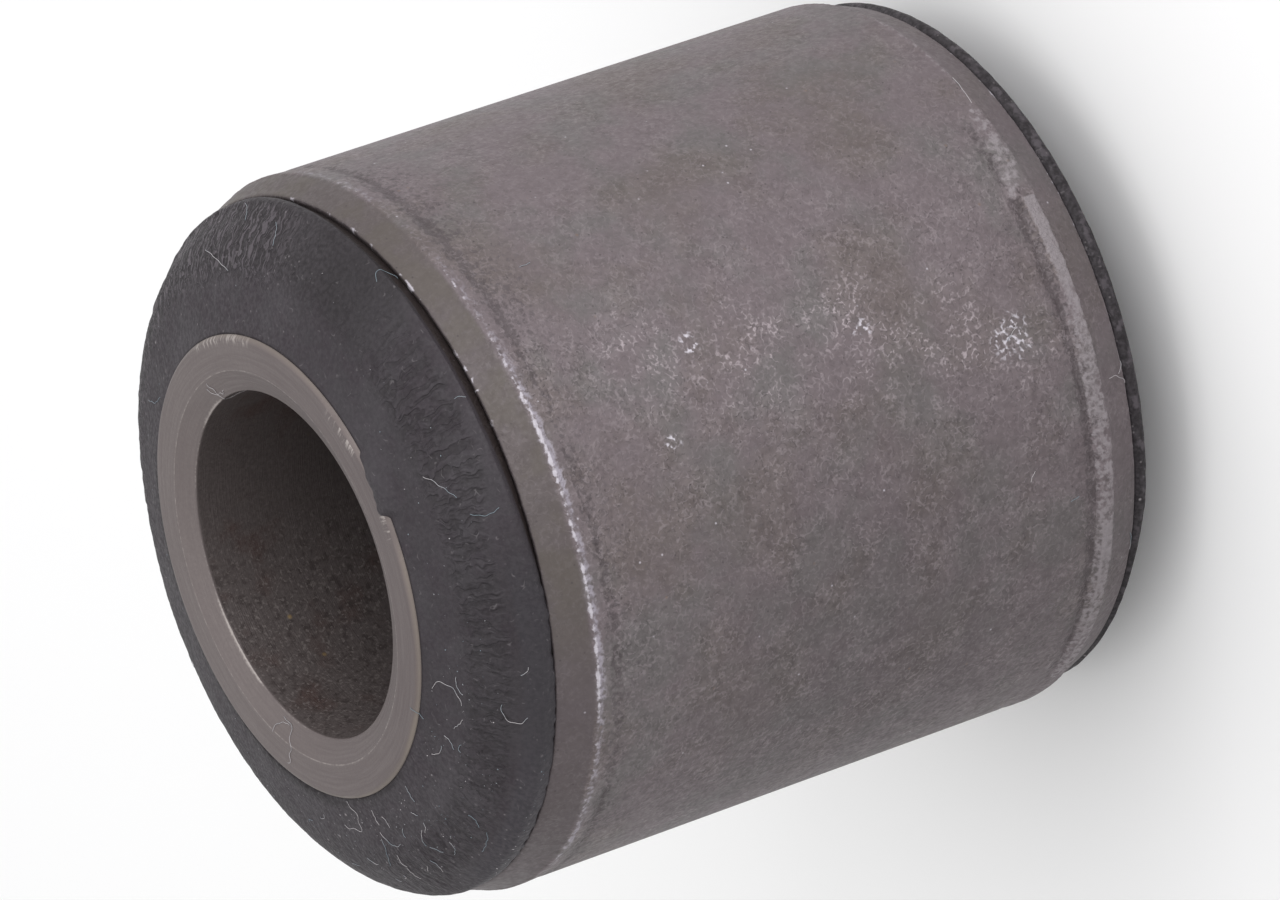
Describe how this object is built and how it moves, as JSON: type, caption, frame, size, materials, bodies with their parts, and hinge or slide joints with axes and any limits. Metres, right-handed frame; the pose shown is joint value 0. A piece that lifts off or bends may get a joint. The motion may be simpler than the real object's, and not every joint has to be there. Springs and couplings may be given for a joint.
{
  "type": "rubber metal bush",
  "caption": "Rubber metal bush: steel outer sleeve with rolled-in ends, bonded rubber body bulging at both ends, and a thick steel inner tube with a through bore.",
  "frame": {"origin": "centre of the inner tube's lower end face", "axes": "+Z along the bush's axis; the part stands on the inner tube's lower end face"},
  "size_m": [0.05, 0.05, 0.0576],
  "materials": {
    "sleeve_steel": "dull phosphated steel, brown-grey and speckled",
    "bonded_rubber": "matt black rubber with fine radial wrinkles",
    "tube_steel": "turned and phosphated steel, warm grey"
  },
  "bodies": {
    "root": {"outer_sleeve": "sleeve_steel", "rubber_element": "bonded_rubber", "inner_tube": "tube_steel"}
  },
  "joints": []
}
